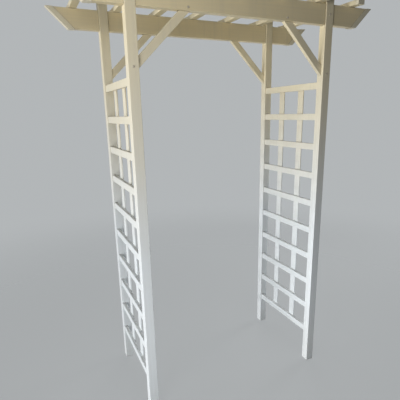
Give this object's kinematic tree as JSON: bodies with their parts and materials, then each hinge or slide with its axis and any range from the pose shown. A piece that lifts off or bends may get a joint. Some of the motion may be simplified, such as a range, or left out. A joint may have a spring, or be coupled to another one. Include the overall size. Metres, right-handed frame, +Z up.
{
  "type": "garden arbor",
  "caption": "Free-standing garden arbor of white hollow vinyl: slotted posts carry mitred, capped beams with cross slats, corner braces and lattice sides around a walk-through passage.",
  "frame": {"origin": "centre of the footprint on the ground, under the middle of the passage", "axes": "+X along the beams to the right as seen from the front, +Y from front to back through the passage, +Z up"},
  "size_m": [1.7302, 0.7758, 2.33],
  "materials": {
    "profile": "satin white vinyl extrusion",
    "lattice": "satin white vinyl extrusion",
    "cap": "satin white moulded vinyl"
  },
  "bodies": {
    "root": {"front_left_post": "profile", "front_left_post_cap": "cap", "front_beam_left_cap": "cap", "front_left_brace": "profile", "front_right_post": "profile", "front_right_post_cap": "cap", "front_beam_right_cap": "cap", "front_right_brace": "profile", "front_beam": "profile", "back_left_post": "profile", "back_left_post_cap": "cap", "back_beam_left_cap": "cap", "back_left_brace": "profile", "back_right_post": "profile", "back_right_post_cap": "cap", "back_beam_right_cap": "cap", "back_right_brace": "profile", "back_beam": "profile", "slat_1": "profile", "slat_1_front_cap": "cap", "slat_1_back_cap": "cap", "slat_2": "profile", "slat_2_front_cap": "cap", "slat_2_back_cap": "cap", "slat_3": "profile", "slat_3_front_cap": "cap", "slat_3_back_cap": "cap", "slat_4": "profile", "slat_4_front_cap": "cap", "slat_4_back_cap": "cap", "slat_5": "profile", "slat_5_front_cap": "cap", "slat_5_back_cap": "cap", "slat_6": "profile", "slat_6_front_cap": "cap", "slat_6_back_cap": "cap", "slat_7": "profile", "slat_7_front_cap": "cap", "slat_7_back_cap": "cap", "left_lattice": "lattice", "right_lattice": "lattice"}
  },
  "joints": []
}
